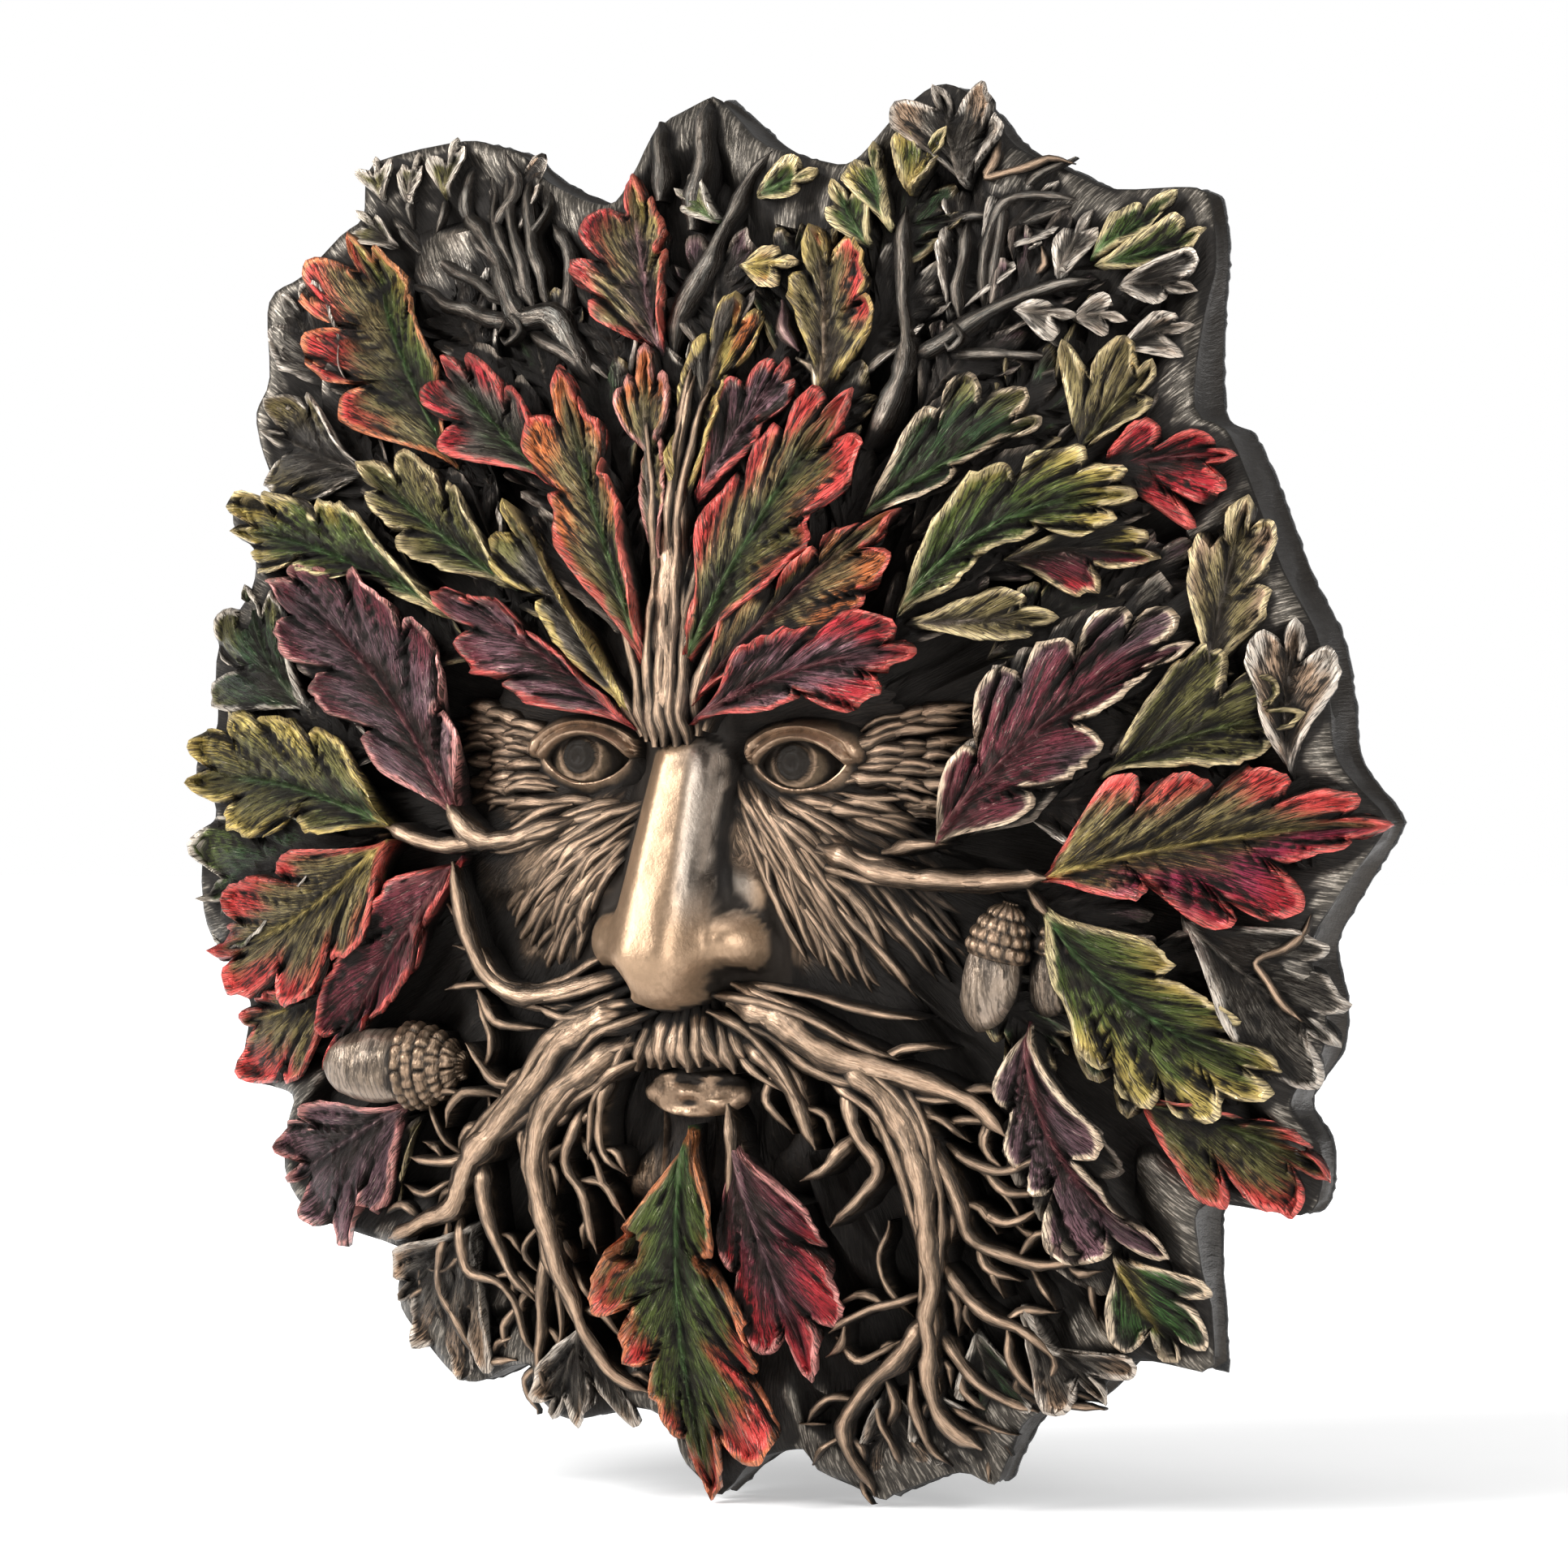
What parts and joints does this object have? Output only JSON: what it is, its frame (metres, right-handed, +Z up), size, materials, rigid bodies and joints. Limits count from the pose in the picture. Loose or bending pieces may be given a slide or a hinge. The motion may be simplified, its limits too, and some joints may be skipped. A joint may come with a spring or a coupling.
{
  "type": "green man wall plaque",
  "caption": "Round relief plaque of a foliate head among oak leaves, roots, branches and acorns, cast in one piece, with a felt back that lies on the wall.",
  "frame": {"origin": "on the wall plane, at the middle of the felt back, behind the bridge of the nose", "axes": "+X to the right and +Z up as seen from the front, +Y into the wall"},
  "size_m": [0.2437, 0.0563, 0.2642],
  "materials": {
    "painted_cast_resin": "cold-cast bronze resin, dark brown wash in the recesses, dry-brushed champagne bronze on the high parts, leaves hand painted green, olive, yellow, red and burgundy, satin lacquer",
    "black_felt": "thin black felt with a fuzzy cut edge"
  },
  "bodies": {
    "root": {"cast_mask": "painted_cast_resin", "felt_backing": "black_felt"}
  },
  "joints": []
}
